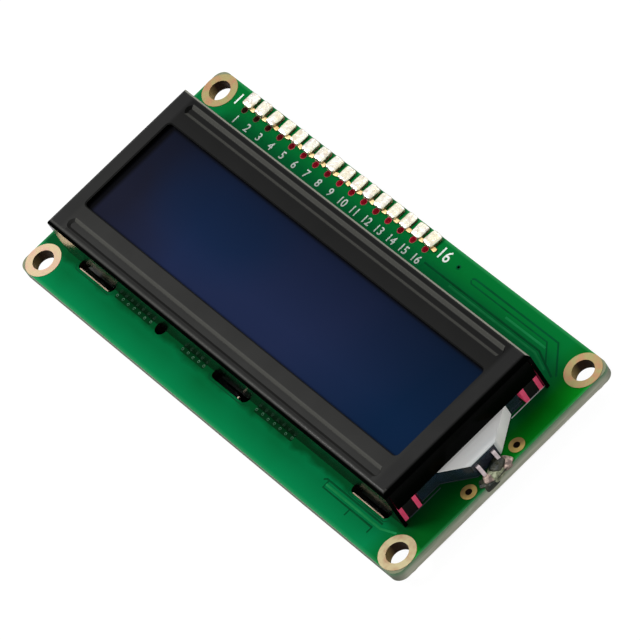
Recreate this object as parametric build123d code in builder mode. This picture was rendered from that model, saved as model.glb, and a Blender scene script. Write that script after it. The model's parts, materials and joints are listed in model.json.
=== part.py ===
from build123d import *
import os
from math import hypot, radians, tan

# Character display module of two rows by sixteen. A green circuit board carries a glass display cell
# in a pressed steel bezel, two rubber contact strips and a backlight that is lit from one end.
# Lengths are in millimetres. The origin is at the centre of the four mounting holes, on the front
# face of the board. +Z points out of the display, +X to the lamp end and +Y to the header edge.

os.makedirs("parts", exist_ok=True)

# Circuit board
board_length = 80.0
board_width = 36.0
board_thickness = 1.6
board_corner_radius = 1.5
pad_thickness = 0.05

# Mounting holes, whose rings touch the edges of the board
mount_bore = 3.0
mount_ring_band = 1.0
bore_plating = 0.05

# Header holes, and the pads that run from them out to the edge of the board
header_count = 16
header_pitch = 2.54
header_bore = 1.0
header_first_inset = 8.0
header_row_inset = 2.55
header_pad_width = 1.75
header_pad_edge_gap = 0.1
header_pad_bite = 0.1
header_pad_corner = 0.3
header_back_pad_sides = 12
header_back_pad_width = 1.8
header_solder_height = 0.42
header_solder_slope = 0.3
header_solder_margin = 0.06

# Steel bezel
bezel_end_margin = 4.4
bezel_front_margin = 5.4
bezel_back_margin = 6.4
bezel_height = 6.8
bezel_sheet = 0.5
bezel_bend_radius = 0.75
bezel_end_wall_gap = 3.1
corner_slit = 0.1
window_end_margin = 2.85
window_side_margin = 4.7
window_shift = -0.25
window_corner_radius = 0.6
pressed_edge = 0.15
rib_side_margin = 1.88
rib_end_margin = 2.9
rib_width = 1.55
rib_depth = 0.35
rib_slope = 45.0

# Tabs of the bezel, which pass through slots in the board and are twisted behind it
tab_end_margin = 6.6
tab_width = 3.6
tab_twist = 28.0
tab_twist_length = 0.9
tab_tip_length = 0.8
tab_board_gap = 0.1
slot_length = 7.4
slot_outer_gap = 0.8
slot_inner_gap = 0.1
locating_hole_diameter = 1.8
locating_hole_x = -15.0

# Display cell, from the front polariser down
polariser_thickness = 0.2
polariser_overlap = 0.7
glass_thickness = 1.1
glass_end_gap = 0.3
glass_side_gap = 0.15
cell_gap = 0.05
contact_ledge = 3.1
rear_glass_end_step = 0.9
seal_band = 1.2
seal_inset = 0.4
fill_port_width = 2.4
fill_plug_width = 3.6
fill_plug_reach = 0.35

# Contact strips, a dark laminated core between two soft pink walls
strip_width = 2.8
strip_wall = 0.6
strip_bezel_gap = 0.1
strip_end_gap = 0.1
contact_pitch = 1.2
contact_width = 0.7
contact_side_margin = 0.3
contact_end_margin = 1.6

# Backlight
backlight_side_gap = 0.3
backlight_end_gap = 0.5
film_thickness = 0.2
diffuser_thickness = 0.15
cover_thickness = 0.12
nose_top = 2.35
nose_reach = 3.35
nose_root_width = 11.8
nose_root_shift = 0.5
nose_tip_width = 3.8
lamp_width = 3.2
lamp_depth = 1.0
lamp_height = 1.5
lamp_base_gap = 0.25
lead_pitch = 2.54
lead_width = 0.5
lead_thickness = 0.25
lead_exit_height = 1.35
lead_reach = 0.9
lead_foot = 0.75
lead_bend_radius = 0.2
lamp_pad_length = 1.2
lamp_pad_width = 1.3
lamp_pad_edge_gap = 0.05
lamp_solder_height = 0.5
lamp_solder_slope = 0.25
lamp_solder_margin = 0.12
lamp_solder_corner = 0.25

# Test pads beside the lamp
test_pad_bore = 0.9
test_pad_band = 0.62
test_pad_inset = 1.45
test_pad_pitch = 8.0

# Drops of black resin over the two chips, and the small chips, all on the back of the board
controller_diameter = 15.0
controller_height = 1.55
controller_x = -14.0
driver_diameter = 12.5
driver_height = 1.45
driver_x = 13.0
chip_length = 2.0
chip_width = 1.25
resistor_height = 0.5
capacitor_height = 0.9
chip_end = 0.35
chip_pitch = 2.4
resistor_count = 6
resistor_row_inset = 6.0
capacitor_count = 4
capacitor_row_inset = 13.5

# Places and sizes that follow from those above
mount_ring_diameter = mount_bore + 2 * mount_ring_band
mount_inset = mount_ring_diameter / 2
mount_spacing_x = board_length - 2 * mount_inset
mount_spacing_y = board_width - 2 * mount_inset

header_first_x = header_first_inset - board_length / 2
header_row_y = board_width / 2 - header_row_inset
header_middle_x = header_first_x + header_pitch * (header_count - 1) / 2
header_pad_length = header_row_inset - header_bore / 2 + header_pad_bite - header_pad_edge_gap
header_pad_y = board_width / 2 - header_pad_edge_gap - header_pad_length / 2

bezel_length = board_length - 2 * bezel_end_margin
bezel_width = board_width - bezel_front_margin - bezel_back_margin
bezel_y = (bezel_front_margin - bezel_back_margin) / 2
inner_length = bezel_length - 2 * bezel_sheet
inner_width = bezel_width - 2 * bezel_sheet
window_length = bezel_length - 2 * window_end_margin
window_width = bezel_width - 2 * window_side_margin
rib_length = bezel_length - 2 * rib_end_margin
rib_offset = bezel_width / 2 - rib_side_margin
rib_outer_step = bezel_sheet * tan(radians(rib_slope / 2))
wall_offset = (bezel_width - bezel_sheet) / 2

front_glass_length = inner_length - 2 * glass_end_gap
front_glass_width = inner_width - 2 * glass_side_gap
rear_glass_length = front_glass_length - 2 * rear_glass_end_step
rear_glass_width = front_glass_width - 2 * contact_ledge
front_glass_z = bezel_height - bezel_sheet - rib_depth - glass_thickness
rear_glass_z = front_glass_z - cell_gap - glass_thickness
rear_polariser_z = rear_glass_z - polariser_thickness

strip_length = inner_length - 2 * strip_end_gap
strip_offset = inner_width / 2 - strip_bezel_gap - strip_width / 2
strip_height = front_glass_z - pad_thickness
contact_count = int((strip_length - 2 * contact_end_margin) / contact_pitch)
contact_length = strip_width - 2 * contact_side_margin

backlight_width = 2 * (strip_offset - strip_width / 2 - backlight_side_gap)
backlight_end = inner_length / 2 - backlight_end_gap
guide_top = rear_polariser_z - diffuser_thickness
nose_tip_x = backlight_end + nose_reach
lamp_z = film_thickness + lamp_base_gap
lead_z = lamp_z + lead_exit_height - lead_thickness / 2
foot_z = pad_thickness + lead_thickness / 2
foot_start = nose_tip_x + lead_reach
lamp_pad_x = board_length / 2 - lamp_pad_edge_gap - lamp_pad_length / 2
test_pad_x = board_length / 2 - test_pad_inset
test_pad_diameter = test_pad_bore + 2 * test_pad_band

resistor_row_x = resistor_row_inset - board_length / 2
capacitor_row_x = board_length / 2 - capacitor_row_inset

board_back = -board_thickness
back_pad_z = board_back - pad_thickness
slot_width = bezel_sheet + slot_outer_gap + slot_inner_gap
slot_offset = wall_offset + (slot_outer_gap - slot_inner_gap) / 2
tab_x = bezel_length / 2 - tab_end_margin

# Sets of places that several pieces share
mount_places = GridLocations(mount_spacing_x, mount_spacing_y, 2, 2).locations
header_x = [header_first_x + header_pitch * pin for pin in range(header_count)]
header_places = [Location((x, header_row_y)) for x in header_x]
header_pad_places = [Location((x, header_pad_y)) for x in header_x]
test_pad_places = [Location((test_pad_x, bezel_y + side * test_pad_pitch / 2)) for side in (-1, 1)]
lamp_pad_places = [Location((lamp_pad_x, bezel_y + side * lead_pitch / 2)) for side in (-1, 1)]
slot_places = [Location((x, bezel_y + side * slot_offset)) for side in (-1, 1) for x in (-tab_x, 0, tab_x)]
locating_place = Location((locating_hole_x, bezel_y - slot_offset))


# Bare board. The mounting holes and test holes are larger by their plating
with BuildPart() as circuit_board:
    with BuildSketch():
        RectangleRounded(board_length, board_width, board_corner_radius)
        with Locations(mount_places):
            Circle(mount_bore / 2 + bore_plating, mode=Mode.SUBTRACT)
        with Locations(header_places):
            Circle(header_bore / 2, mode=Mode.SUBTRACT)
        with Locations(test_pad_places):
            Circle(test_pad_bore / 2 + bore_plating, mode=Mode.SUBTRACT)
        with Locations(slot_places):
            SlotOverall(slot_length, slot_width, mode=Mode.SUBTRACT)
        with Locations(locating_place):
            Circle(locating_hole_diameter / 2, mode=Mode.SUBTRACT)
    extrude(amount=-board_thickness)
circuit_board.part.label = "circuit_board"
export_step(circuit_board.part, "parts/circuit_board.step")


# Plated rivet-like linings of the mounting holes: a ring on each face, joined by a thin barrel
with BuildPart() as mounting_hole_plating:
    with BuildSketch(Plane.XY.offset(pad_thickness)):
        with Locations(mount_places):
            Circle(mount_bore / 2 + bore_plating)
    extrude(amount=-(board_thickness + 2 * pad_thickness))
    for ring_base in (0, back_pad_z):
        with BuildSketch(Plane.XY.offset(ring_base)):
            with Locations(mount_places):
                Circle(mount_ring_diameter / 2)
        extrude(amount=pad_thickness)
    with BuildSketch(Plane.XY.offset(pad_thickness)):
        with Locations(mount_places):
            Circle(mount_bore / 2)
    extrude(amount=-(board_thickness + 2 * pad_thickness), mode=Mode.SUBTRACT)
mounting_hole_plating.part.label = "mounting_hole_plating"
export_step(mounting_hole_plating.part, "parts/mounting_hole_plating.step")


# Header pads on the front: blocks with cut corners beside the holes, run out almost to the board's edge.
# Each hole bites a little into its pad
with BuildPart() as header_pads:
    with BuildSketch() as header_pad_outlines:
        with Locations(header_pad_places):
            Rectangle(header_pad_width, header_pad_length)
        chamfer(header_pad_outlines.vertices(), header_pad_corner)
        with Locations(header_places):
            Circle(header_bore / 2, mode=Mode.SUBTRACT)
    extrude(amount=pad_thickness)
header_pads.part.label = "header_pads"
export_step(header_pads.part, "parts/header_pads.step")


# Header pads on the back: rings round the same holes, with flat sides
with BuildPart() as header_back_pads:
    with BuildSketch(Plane.XY.offset(back_pad_z)):
        with Locations(header_places):
            RegularPolygon(header_back_pad_width / 2, header_back_pad_sides, major_radius=False)
            RegularPolygon(header_bore / 2, header_back_pad_sides, major_radius=False, mode=Mode.SUBTRACT)
    extrude(amount=pad_thickness)
header_back_pads.part.label = "header_back_pads"
export_step(header_back_pads.part, "parts/header_back_pads.step")


# Solder that has flowed over the outer part of each header pad and stopped at the hole
solder_heel = header_row_y + header_bore / 2 + header_solder_margin
solder_toe = board_width / 2 - header_pad_edge_gap - header_solder_margin
solder_length = solder_toe - solder_heel
solder_width = header_pad_width - 2 * header_solder_margin
with BuildPart() as header_solder:
    with BuildSketch(Plane.XY.offset(pad_thickness)) as solder_outlines:
        with Locations((header_middle_x, (solder_heel + solder_toe) / 2)):
            with GridLocations(header_pitch, 0, header_count, 1):
                Rectangle(solder_width, solder_length)
        chamfer(solder_outlines.vertices(), header_pad_corner)
    extrude(amount=header_solder_height)
    chamfer(header_solder.edges().group_by(Axis.Z)[-1], header_solder_slope)
header_solder.part.label = "header_solder"
export_step(header_solder.part, "parts/header_solder.step")


# Two plated test holes beside the lamp
with BuildPart() as test_pads:
    with BuildSketch(Plane.XY.offset(pad_thickness)):
        with Locations(test_pad_places):
            Circle(test_pad_bore / 2 + bore_plating)
    extrude(amount=-(board_thickness + 2 * pad_thickness))
    for ring_base in (0, back_pad_z):
        with BuildSketch(Plane.XY.offset(ring_base)):
            with Locations(test_pad_places):
                Circle(test_pad_diameter / 2)
        extrude(amount=pad_thickness)
    with BuildSketch(Plane.XY.offset(pad_thickness)):
        with Locations(test_pad_places):
            Circle(test_pad_bore / 2)
    extrude(amount=-(board_thickness + 2 * pad_thickness), mode=Mode.SUBTRACT)
test_pads.part.label = "test_pads"
export_step(test_pads.part, "parts/test_pads.step")


# Flat pads for the two leads of the lamp, at the edge of the board
with BuildPart() as lamp_pads:
    with BuildSketch():
        with Locations(lamp_pad_places):
            Rectangle(lamp_pad_length, lamp_pad_width)
    extrude(amount=pad_thickness)
lamp_pads.part.label = "lamp_pads"
export_step(lamp_pads.part, "parts/lamp_pads.step")


# Bezel: one steel sheet, folded down on four sides, with a window, two pressed ribs that bear on the
# glass above the contact strips, and six twisted tabs
with BuildPart() as bezel:
    with BuildSketch(Plane((0, bezel_y, 0))):
        Rectangle(bezel_length, bezel_width)
    extrude(amount=bezel_height)
    fillet(bezel.edges().group_by(Axis.Z)[-1], bezel_bend_radius)
    offset(amount=-bezel_sheet, openings=bezel.faces().sort_by(Axis.Z)[0])

    # The end walls stop short of the board, and a slit parts them from the long walls at each corner
    with BuildSketch(Plane((0, bezel_y, 0))):
        Rectangle(bezel_length, inner_width)
    extrude(amount=bezel_end_wall_gap, mode=Mode.SUBTRACT)
    with BuildSketch(Plane((0, bezel_y, 0))):
        with GridLocations(bezel_length - bezel_sheet, inner_width - corner_slit, 2, 2):
            Rectangle(bezel_sheet, corner_slit)
    extrude(amount=bezel_height - bezel_bend_radius, mode=Mode.SUBTRACT)

    # Window, with its edge eased by the press
    with BuildSketch(Plane((window_shift, bezel_y, bezel_height))):
        RectangleRounded(window_length, window_width, window_corner_radius)
    extrude(amount=-bezel_sheet, mode=Mode.SUBTRACT)
    chamfer(bezel.faces().sort_by(Axis.Z)[-1].inner_wires().edges(), pressed_edge)

    # Ribs with sloping sides: the sheet is pressed down, so it bulges inside as it sinks outside, and
    # keeps its thickness on the slopes
    with BuildSketch(Plane((0, bezel_y, bezel_height - bezel_sheet), z_dir=(0, 0, -1))):
        with GridLocations(0, 2 * rib_offset, 1, 2):
            SlotOverall(rib_length + 2 * rib_outer_step, rib_width + 2 * rib_outer_step)
    extrude(amount=rib_depth, taper=rib_slope)
    with BuildSketch(Plane((0, bezel_y, bezel_height), z_dir=(0, 0, -1))):
        with GridLocations(0, 2 * rib_offset, 1, 2):
            SlotOverall(rib_length, rib_width)
    extrude(amount=rib_depth, taper=rib_slope, mode=Mode.SUBTRACT)

    # Tabs: straight through the board, then turned about their own axis so that they can't slip back
    for x in (-tab_x, 0, tab_x):
        for side in (-1, 1):
            wall_y = bezel_y + side * wall_offset
            twist_top = board_back - tab_board_gap
            twist_end = twist_top - tab_twist_length
            with BuildSketch(Plane((x, wall_y, 0))):
                Rectangle(tab_width, bezel_sheet)
            extrude(amount=twist_top)
            with BuildSketch(Plane((x, wall_y, twist_top))):
                Rectangle(tab_width, bezel_sheet)
            with BuildSketch(Plane((x, wall_y, twist_end))):
                Rectangle(tab_width, bezel_sheet, rotation=side * tab_twist)
            loft(ruled=True)
            with BuildSketch(Plane((x, wall_y, twist_end))):
                Rectangle(tab_width, bezel_sheet, rotation=side * tab_twist)
            extrude(amount=-tab_tip_length)
bezel.part.label = "bezel"
export_step(bezel.part, "parts/bezel.step")


# Front polariser, a film on the outside of the front glass, seen through the window
with BuildPart() as front_polariser:
    with BuildSketch(Plane((window_shift, bezel_y, front_glass_z + glass_thickness))):
        Rectangle(window_length + 2 * polariser_overlap, window_width + 2 * polariser_overlap)
    extrude(amount=polariser_thickness)
front_polariser.part.label = "front_polariser"
export_step(front_polariser.part, "parts/front_polariser.step")


# Front glass, wider than the rear one so that its underside has a contact ledge along both long edges
with BuildPart() as front_glass:
    with BuildSketch(Plane((0, bezel_y, front_glass_z))):
        Rectangle(front_glass_length, front_glass_width)
    extrude(amount=glass_thickness)
front_glass.part.label = "front_glass"
export_step(front_glass.part, "parts/front_glass.step")


# Seal between the two glasses, open at one end where the liquid crystal went in
seal_length = rear_glass_length - 2 * seal_inset
seal_width = rear_glass_width - 2 * seal_inset
with BuildPart() as cell_seal:
    with BuildSketch(Plane((0, bezel_y, front_glass_z - cell_gap))):
        RectangleRounded(seal_length, seal_width, seal_band)
        Rectangle(seal_length - 2 * seal_band, seal_width - 2 * seal_band, mode=Mode.SUBTRACT)
        with Locations((-seal_length / 2, 0)):
            Rectangle(3 * seal_band, fill_port_width, mode=Mode.SUBTRACT)
    extrude(amount=cell_gap)
cell_seal.part.label = "cell_seal"
export_step(cell_seal.part, "parts/cell_seal.step")


# Rear glass
with BuildPart() as rear_glass:
    with BuildSketch(Plane((0, bezel_y, rear_glass_z))):
        Rectangle(rear_glass_length, rear_glass_width)
    extrude(amount=glass_thickness)
rear_glass.part.label = "rear_glass"
export_step(rear_glass.part, "parts/rear_glass.step")


# Drop of cured resin that closes the fill port, on the end of the rear glass under the front one
plug_x = -rear_glass_length / 2
with BuildPart() as fill_plug:
    with BuildSketch(Plane((plug_x, bezel_y, rear_glass_z + glass_thickness / 2))):
        with Locations((0, 0)):
            Ellipse(fill_plug_reach, fill_plug_width / 2)
        with Locations((fill_plug_reach, 0)):
            Rectangle(2 * fill_plug_reach, fill_plug_width, mode=Mode.SUBTRACT)
    extrude(amount=glass_thickness / 2 + cell_gap)
fill_plug.part.label = "fill_plug"
export_step(fill_plug.part, "parts/fill_plug.step")


# Rear polariser
with BuildPart() as rear_polariser:
    with BuildSketch(Plane((0, bezel_y, rear_polariser_z))):
        Rectangle(rear_glass_length - 2 * seal_inset, rear_glass_width - 2 * seal_inset)
    extrude(amount=polariser_thickness)
rear_polariser.part.label = "rear_polariser"
export_step(rear_polariser.part, "parts/rear_polariser.step")


# Contact strips and the gold contacts on the board under them, one set along each long edge
for side_name, side in (("lower", -1), ("upper", 1)):
    strip_y = bezel_y + side * strip_offset
    with BuildPart() as strip_core:
        with BuildSketch(Plane((0, strip_y, pad_thickness))):
            Rectangle(strip_length, strip_width - 2 * strip_wall)
        extrude(amount=strip_height)
    strip_core.part.label = side_name + "_contact_strip_core"
    export_step(strip_core.part, "parts/" + side_name + "_contact_strip_core.step")

    with BuildPart() as strip_walls:
        with BuildSketch(Plane((0, strip_y, pad_thickness))):
            with GridLocations(0, strip_width - strip_wall, 1, 2):
                Rectangle(strip_length, strip_wall)
        extrude(amount=strip_height)
    strip_walls.part.label = side_name + "_contact_strip_walls"
    export_step(strip_walls.part, "parts/" + side_name + "_contact_strip_walls.step")

    with BuildPart() as board_contacts:
        with BuildSketch(Plane((0, strip_y, 0))):
            with GridLocations(contact_pitch, 0, contact_count, 1):
                Rectangle(contact_width, contact_length)
        extrude(amount=pad_thickness)
    board_contacts.part.label = side_name + "_board_contacts"
    export_step(board_contacts.part, "parts/" + side_name + "_board_contacts.step")


# Outline of the backlight: a slab under the glass and a nose that narrows towards the lamp
nose_root_high = bezel_y + nose_root_shift + nose_root_width / 2
nose_root_low = bezel_y + nose_root_shift - nose_root_width / 2
nose_tip_high = bezel_y + nose_tip_width / 2
nose_tip_low = bezel_y - nose_tip_width / 2
nose_points = [
    (backlight_end, nose_root_low),
    (nose_tip_x, nose_tip_low),
    (nose_tip_x, nose_tip_high),
    (backlight_end, nose_root_high),
]

# White reflector film under the whole light guide
with BuildPart() as reflector_film:
    with BuildSketch():
        with BuildLine():
            Polyline(*nose_points, close=True)
        make_face()
        with Locations((0, bezel_y)):
            Rectangle(2 * backlight_end, backlight_width)
    extrude(amount=film_thickness)
reflector_film.part.label = "reflector_film"
export_step(reflector_film.part, "parts/reflector_film.step")


# Clear acrylic light guide, full height under the glass and lower in the nose, with a pocket at the
# tip for the lamp
with BuildPart() as light_guide:
    with BuildSketch(Plane((0, bezel_y, film_thickness))):
        Rectangle(2 * backlight_end, backlight_width)
    extrude(amount=guide_top - film_thickness)
    with BuildSketch(Plane.XY.offset(film_thickness)):
        with BuildLine():
            Polyline(*nose_points, close=True)
        make_face()
    extrude(amount=nose_top - film_thickness)
    with BuildSketch(Plane((nose_tip_x - lamp_depth / 2, bezel_y, lamp_z))):
        Rectangle(lamp_depth, lamp_width)
    extrude(amount=lamp_height, mode=Mode.SUBTRACT)
light_guide.part.label = "light_guide"
export_step(light_guide.part, "parts/light_guide.step")


# Diffuser film on the guide, under the rear polariser
with BuildPart() as diffuser_film:
    with BuildSketch(Plane((0, bezel_y, guide_top))):
        Rectangle(2 * backlight_end, backlight_width)
    extrude(amount=diffuser_thickness)
diffuser_film.part.label = "diffuser_film"
export_step(diffuser_film.part, "parts/diffuser_film.step")


# White cover over the nose, folded down over its slanted wall on the header side. It starts just
# clear of the slab, and its fold stands one film thickness outside the wall
wall_run = nose_tip_x - backlight_end
high_slope = (nose_tip_high - nose_root_high) / wall_run
low_slope = (nose_tip_low - nose_root_low) / wall_run
fold_shift = cover_thickness * hypot(1, high_slope)
cover_start = backlight_end + cover_thickness
cover_points = [
    (cover_start, nose_root_low + low_slope * cover_thickness),
    (nose_tip_x, nose_tip_low),
    (nose_tip_x, nose_tip_high + fold_shift),
    (cover_start, nose_root_high + high_slope * cover_thickness + fold_shift),
]
with BuildPart() as nose_cover:
    with BuildSketch(Plane.XY.offset(film_thickness)):
        with BuildLine():
            Polyline(*cover_points, close=True)
        make_face()
    extrude(amount=nose_top - film_thickness + cover_thickness)
    with BuildSketch(Plane.XY.offset(film_thickness)):
        with BuildLine():
            Polyline(*nose_points, close=True)
        make_face()
    extrude(amount=nose_top - film_thickness, mode=Mode.SUBTRACT)
nose_cover.part.label = "nose_cover"
export_step(nose_cover.part, "parts/nose_cover.step")


# Lamp in the pocket of the light guide
with BuildPart() as backlight_lamp:
    with BuildSketch(Plane((nose_tip_x - lamp_depth / 2, bezel_y, lamp_z))):
        Rectangle(lamp_depth, lamp_width)
    extrude(amount=lamp_height)
backlight_lamp.part.label = "backlight_lamp"
export_step(backlight_lamp.part, "parts/backlight_lamp.step")


# Two flat leads, from the face of the lamp down to their pads
with BuildPart() as lamp_leads:
    for side in (-1, 1):
        lead_y = bezel_y + side * lead_pitch / 2
        with BuildLine():
            FilletPolyline(
                (nose_tip_x, lead_y, lead_z),
                (nose_tip_x + lead_thickness, lead_y, lead_z),
                (foot_start, lead_y, foot_z),
                (foot_start + lead_foot, lead_y, foot_z),
                radius=lead_bend_radius,
            )
        with BuildSketch(Plane((nose_tip_x, lead_y, lead_z), x_dir=(0, 1, 0), z_dir=(1, 0, 0))):
            Rectangle(lead_width, lead_thickness)
        sweep()
lamp_leads.part.label = "lamp_leads"
export_step(lamp_leads.part, "parts/lamp_leads.step")


# Solder over the feet of the leads
with BuildPart() as lamp_solder:
    with BuildSketch(Plane.XY.offset(pad_thickness)) as lamp_solder_outlines:
        with Locations(lamp_pad_places):
            Rectangle(lamp_pad_length - 2 * lamp_solder_margin, lamp_pad_width - 2 * lamp_solder_margin)
        chamfer(lamp_solder_outlines.vertices(), lamp_solder_corner)
    extrude(amount=lamp_solder_height)
    chamfer(lamp_solder.edges().group_by(Axis.Z)[-1], lamp_solder_slope)
    add(lamp_leads.part, mode=Mode.SUBTRACT)
lamp_solder.part.label = "lamp_solder"
export_step(lamp_solder.part, "parts/lamp_solder.step")


# Drops of resin over the chips, each a shallow dome
for drop_name, drop_x, drop_diameter, drop_height in (
    ("controller_drop", controller_x, controller_diameter, controller_height),
    ("driver_drop", driver_x, driver_diameter, driver_height),
):
    with BuildPart() as resin_drop:
        with BuildSketch(Plane((drop_x, bezel_y, board_back), x_dir=(1, 0, 0), z_dir=(0, -1, 0))):
            with BuildLine():
                TangentArc((0, -drop_height), (drop_diameter / 2, 0), tangent=(1, 0))
                Polyline((drop_diameter / 2, 0), (0, 0), (0, -drop_height))
            make_face()
        revolve(axis=Axis((drop_x, bezel_y, 0), (0, 0, 1)))
    resin_drop.part.label = drop_name
    export_step(resin_drop.part, "parts/" + drop_name + ".step")


# Small chips in two columns behind the board: bodies, and the soldered ends beside them
with BuildPart() as chip_resistors:
    with BuildSketch(Plane((resistor_row_x, bezel_y, back_pad_z))):
        with GridLocations(0, chip_pitch, 1, resistor_count):
            Rectangle(chip_length - 2 * chip_end, chip_width)
    extrude(amount=-resistor_height)
chip_resistors.part.label = "chip_resistors"
export_step(chip_resistors.part, "parts/chip_resistors.step")

with BuildPart() as chip_capacitors:
    with BuildSketch(Plane((capacitor_row_x, bezel_y, back_pad_z))):
        with GridLocations(0, chip_pitch, 1, capacitor_count):
            Rectangle(chip_length - 2 * chip_end, chip_width)
    extrude(amount=-capacitor_height)
chip_capacitors.part.label = "chip_capacitors"
export_step(chip_capacitors.part, "parts/chip_capacitors.step")

# Soldered ends of those chips, each a fillet that slopes from the top of the chip to its pad
with BuildPart() as chip_solder:
    for row_x, row_count, chip_height in (
        (resistor_row_x, resistor_count, resistor_height),
        (capacitor_row_x, capacitor_count, capacitor_height),
    ):
        for chip in range(row_count):
            chip_y = bezel_y + chip_pitch * (chip - (row_count - 1) / 2)
            with BuildSketch(Plane((row_x, chip_y, board_back), x_dir=(1, 0, 0), z_dir=(0, -1, 0))):
                with BuildLine():
                    Polyline(
                        (chip_length / 2 - chip_end, 0),
                        (chip_length / 2 + chip_end, 0),
                        (chip_length / 2 + chip_end, -pad_thickness),
                        (chip_length / 2, -chip_height - pad_thickness),
                        (chip_length / 2 - chip_end, -chip_height - pad_thickness),
                        close=True,
                    )
                make_face()
                mirror(about=Plane.YZ)
            extrude(amount=chip_width / 2, both=True)
chip_solder.part.label = "chip_solder"
export_step(chip_solder.part, "parts/chip_solder.step")
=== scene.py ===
import bpy
import json
from math import radians, sin, cos
from mathutils import Matrix, Vector


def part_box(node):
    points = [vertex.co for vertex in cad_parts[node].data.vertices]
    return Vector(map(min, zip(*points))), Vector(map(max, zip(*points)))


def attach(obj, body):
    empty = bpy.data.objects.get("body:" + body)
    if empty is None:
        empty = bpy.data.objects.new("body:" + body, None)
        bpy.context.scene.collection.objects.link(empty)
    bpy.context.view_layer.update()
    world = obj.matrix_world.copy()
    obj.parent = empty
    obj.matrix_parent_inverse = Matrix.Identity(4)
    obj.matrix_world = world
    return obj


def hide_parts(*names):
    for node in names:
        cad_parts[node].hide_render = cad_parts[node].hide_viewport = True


# Looks of a character display module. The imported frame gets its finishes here, and what is printed,
# soldered or too fine for the frame is modelled around it. Settings are in millimetres, but those of
# the lights and the floor's size in metres.

mm = 0.001
white = (1, 1, 1, 1)
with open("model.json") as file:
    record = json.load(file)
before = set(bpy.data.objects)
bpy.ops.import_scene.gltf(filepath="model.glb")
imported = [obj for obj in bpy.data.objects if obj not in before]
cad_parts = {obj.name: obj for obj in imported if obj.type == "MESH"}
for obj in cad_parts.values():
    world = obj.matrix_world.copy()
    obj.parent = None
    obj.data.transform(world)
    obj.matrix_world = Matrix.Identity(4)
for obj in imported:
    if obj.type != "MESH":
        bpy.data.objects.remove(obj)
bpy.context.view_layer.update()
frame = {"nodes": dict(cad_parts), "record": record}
node = frame["nodes"]
print("frame loaded:", len(node), "nodes")

# The camera looks down on the module from its lamp end, turned on its own axis
cameraSettings = {
    "aimAt": (2.391, 0.514, 0.0),
    "azimuth": 78.16,
    "elevation": 47.03,
    "roll": -35.46,
    "distance": 794.8,
    "lens": 368.26,
    "sensor": 36,
    "nearest": 10,
}


def addCamera(settings):
    azimuth = radians(settings["azimuth"])
    elevation = radians(settings["elevation"])
    backward = Vector((sin(azimuth) * cos(elevation), -cos(azimuth) * cos(elevation), sin(elevation)))
    aim = Vector(settings["aimAt"]) * mm
    bpy.ops.object.camera_add(location=aim + backward * settings["distance"] * mm)
    camera = bpy.context.object
    camera.name = "photoCamera"
    level = backward.to_track_quat("Z", "Y").to_matrix()
    camera.rotation_euler = (level @ Matrix.Rotation(radians(settings["roll"]), 3, "Z")).to_euler()
    camera.data.lens = settings["lens"]
    camera.data.sensor_width = settings["sensor"]
    camera.data.clip_start = settings["nearest"] * mm
    bpy.context.scene.camera = camera


addCamera(cameraSettings)
print("camera placed")


def tint(red, green, blue):
    # a colour picked on screen, as the linear values that shaders take
    def linear(part):
        part = part / 255
        return part / 12.92 if part <= 0.04045 else ((part + 0.055) / 1.055) ** 2.4
    return (linear(red), linear(green), linear(blue), 1)


# Short names for common shader nodes
def addNode(tree, kind, inputs=None, **settings):
    # one shader node, with its sockets either set or linked
    item = tree.nodes.new(kind)
    for key, value in settings.items():
        setattr(item, key, value)
    for key, value in (inputs or {}).items():
        if isinstance(value, bpy.types.NodeSocket):
            tree.links.new(value, item.inputs[key])
        else:
            item.inputs[key].default_value = value
    return item


def combine(tree, first, second, operation="MULTIPLY"):
    return addNode(tree, "ShaderNodeMath", {0: first, 1: second}, operation=operation).outputs[0]


def above(tree, value, limit):
    return combine(tree, value, limit, "GREATER_THAN")


def below(tree, value, limit):
    return combine(tree, value, limit, "LESS_THAN")


def absolute(tree, value):
    return addNode(tree, "ShaderNodeMath", {0: value}, operation="ABSOLUTE").outputs[0]


def ramped(tree, value, start, end, low=0.0, high=1.0):
    # low at start, high at end, and straight between
    sockets = {"Value": value, "From Min": start, "From Max": end, "To Min": low, "To Max": high}
    return addNode(tree, "ShaderNodeMapRange", sockets).outputs[0]


def spanned(tree, place, span):
    # nought at one place and one at the other, both in millimetres
    return ramped(tree, place, span[0] * mm, span[1] * mm)


def band(tree, value, middle, width, soft, unit=mm):
    # one within half a width of the middle, fading out over a soft edge
    away = absolute(tree, combine(tree, value, middle * unit, "SUBTRACT"))
    return ramped(tree, away, (width / 2 + soft) * unit, width / 2 * unit)


def within(tree, x, y, half):
    # one inside a rectangle, from x and y without their signs
    return combine(tree, below(tree, x, half[0] * mm), below(tree, y, half[1] * mm))


def axes(tree, vector):
    return addNode(tree, "ShaderNodeSeparateXYZ", {0: vector}).outputs


def unsigned(tree, vector):
    return addNode(tree, "ShaderNodeVectorMath", {0: vector}, operation="ABSOLUTE").outputs[0]


def facingOf(tree):
    return addNode(tree, "ShaderNodeNewGeometry").outputs["Normal"]


def emptied(owner):
    # the shader tree of a world or a material, with nothing in it
    owner.use_nodes = True
    owner.node_tree.nodes.clear()
    return owner.node_tree


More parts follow.
